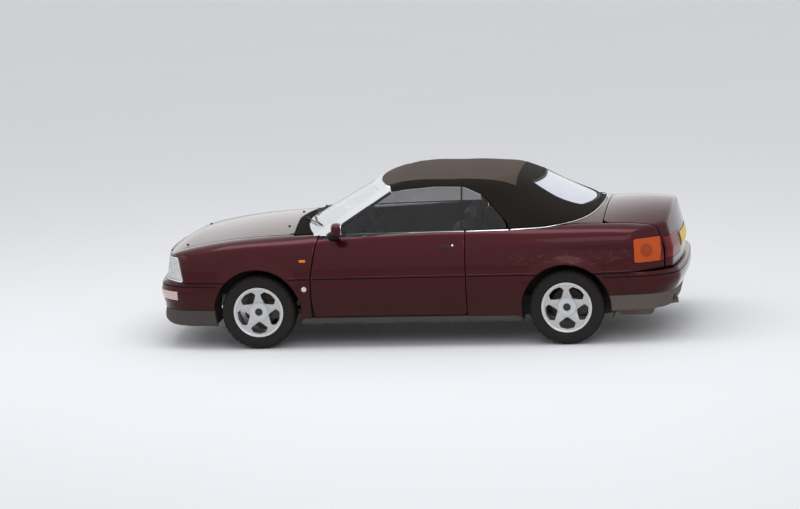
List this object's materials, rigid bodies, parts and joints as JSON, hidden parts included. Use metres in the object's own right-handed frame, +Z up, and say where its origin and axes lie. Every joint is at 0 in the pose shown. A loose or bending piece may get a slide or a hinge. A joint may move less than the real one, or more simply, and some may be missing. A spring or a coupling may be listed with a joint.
{
  "type": "convertible car",
  "caption": "Two-door four-seat convertible car with its fabric roof raised: doors, bonnet and boot lid open, wheels roll and the front wheels steer with the steering wheel.",
  "frame": {"origin": "on the ground under the middle of the car's length and width", "axes": "+X forward, +Y to the car's left, +Z up"},
  "size_m": [4.4006, 1.904, 1.3811],
  "materials": {
    "body_paint": "metallic lacquer",
    "underbody": "sealed and painted",
    "dark_trim": "grained",
    "bright_frame": "anodised",
    "grille_black": "moulded",
    "tail_lens": "moulded lens",
    "clear_lens": "fluted lens",
    "window_glass": "tinted",
    "roof_fabric": "woven",
    "seat_leather": "grained",
    "cabin_plastic": "grained",
    "engine_metal": "cast",
    "chassis_steel": "blackened",
    "exhaust_steel": "heat stained",
    "tyre_rubber": "worn",
    "wheel_silver": "silver lacquer"
  },
  "bodies": {
    "root": {"floor_pan": "underbody", "front_wings": "body_paint", "quarter_panels": "body_paint", "deck_cover": "body_paint", "scuttle": "dark_trim", "tail_lamps": "tail_lens", "head_lamps": "clear_lens", "side_lamps": "clear_lens", "front_bumper": "body_paint", "rear_bumper": "body_paint", "lower_trim": "dark_trim", "windscreen_frame": "bright_frame", "windscreen": "window_glass", "soft_top": "roof_fabric", "rear_window": "window_glass", "quarter_glasses": "window_glass", "front_seats": "seat_leather", "rear_seat": "seat_leather", "dashboard": "cabin_plastic", "engine_block": "engine_metal", "front_subframe": "chassis_steel", "rear_axle": "chassis_steel", "fuel_tank": "chassis_steel", "exhaust": "exhaust_steel"},
    "bonnet": {"bonnet": "body_paint", "grille": "grille_black"},
    "boot_lid": {"boot_lid": "body_paint", "lid_lamps": "tail_lens"},
    "door_left": {"door_left": "body_paint", "door_glass_left": "window_glass", "mirror_left": "body_paint"},
    "door_right": {"door_right": "body_paint", "door_glass_right": "window_glass", "mirror_right": "body_paint"},
    "steering_wheel": {"steering_wheel": "cabin_plastic"},
    "knuckle_left": {"knuckle_left": "chassis_steel"},
    "knuckle_right": {"knuckle_right": "chassis_steel"},
    "wheel_front_left": {"tyre_front_left": "tyre_rubber", "rim_front_left": "wheel_silver"},
    "wheel_front_right": {"tyre_front_right": "tyre_rubber", "rim_front_right": "wheel_silver"},
    "wheel_rear_left": {"tyre_rear_left": "tyre_rubber", "rim_rear_left": "wheel_silver"},
    "wheel_rear_right": {"tyre_rear_right": "tyre_rubber", "rim_rear_right": "wheel_silver"}
  },
  "joints": [
    {"name": "steer_left", "type": "hinge", "parent": "root", "child": "knuckle_left", "pos_m": [1.303, 0.64, 0.2], "axis": [0, -0.19, 0.9818], "range_deg": [-33, 33]},
    {"name": "steer_right", "type": "hinge", "parent": "root", "child": "knuckle_right", "pos_m": [1.303, -0.64, 0.2], "axis": [0, 0.19, 0.9818], "range_deg": [-33, 33]},
    {"name": "steering_wheel_turn", "type": "hinge", "parent": "root", "child": "steering_wheel", "pos_m": [0.44, -0.375, 0.8], "axis": [-0.9063, 0, 0.4226], "range_deg": [-528, 528]},
    {"name": "door_left_hinge", "type": "hinge", "parent": "root", "child": "door_left", "pos_m": [0.797, 0.841, 0.5], "axis": [0, 0, -1], "range_deg": [0, 62]},
    {"name": "door_right_hinge", "type": "hinge", "parent": "root", "child": "door_right", "pos_m": [0.797, -0.841, 0.5], "axis": [0, 0, 1], "range_deg": [0, 62]},
    {"name": "bonnet_hinge", "type": "hinge", "parent": "root", "child": "bonnet", "pos_m": [0.9, 0, 0.945], "axis": [0, -1, 0], "range_deg": [0, 50]},
    {"name": "boot_hinge", "type": "hinge", "parent": "root", "child": "boot_lid", "pos_m": [-1.47, 0, 1.078], "axis": [0, 1, 0], "range_deg": [0, 70]},
    {"name": "spin_front_left", "type": "hinge", "parent": "knuckle_left", "child": "wheel_front_left", "pos_m": [1.303, 0.722, 0.308], "axis": [0, 1, 0], "continuous": true},
    {"name": "spin_front_right", "type": "hinge", "parent": "knuckle_right", "child": "wheel_front_right", "pos_m": [1.303, -0.722, 0.308], "axis": [0, 1, 0], "continuous": true},
    {"name": "spin_rear_left", "type": "hinge", "parent": "root", "child": "wheel_rear_left", "pos_m": [-1.253, 0.722, 0.308], "axis": [0, 1, 0], "continuous": true},
    {"name": "spin_rear_right", "type": "hinge", "parent": "root", "child": "wheel_rear_right", "pos_m": [-1.253, -0.722, 0.308], "axis": [0, 1, 0], "continuous": true}
  ],
  "couplings": [
    {"joint": "steer_right", "follows": "steer_left", "ratio": 1},
    {"joint": "steering_wheel_turn", "follows": "steer_left", "ratio": 16}
  ]
}
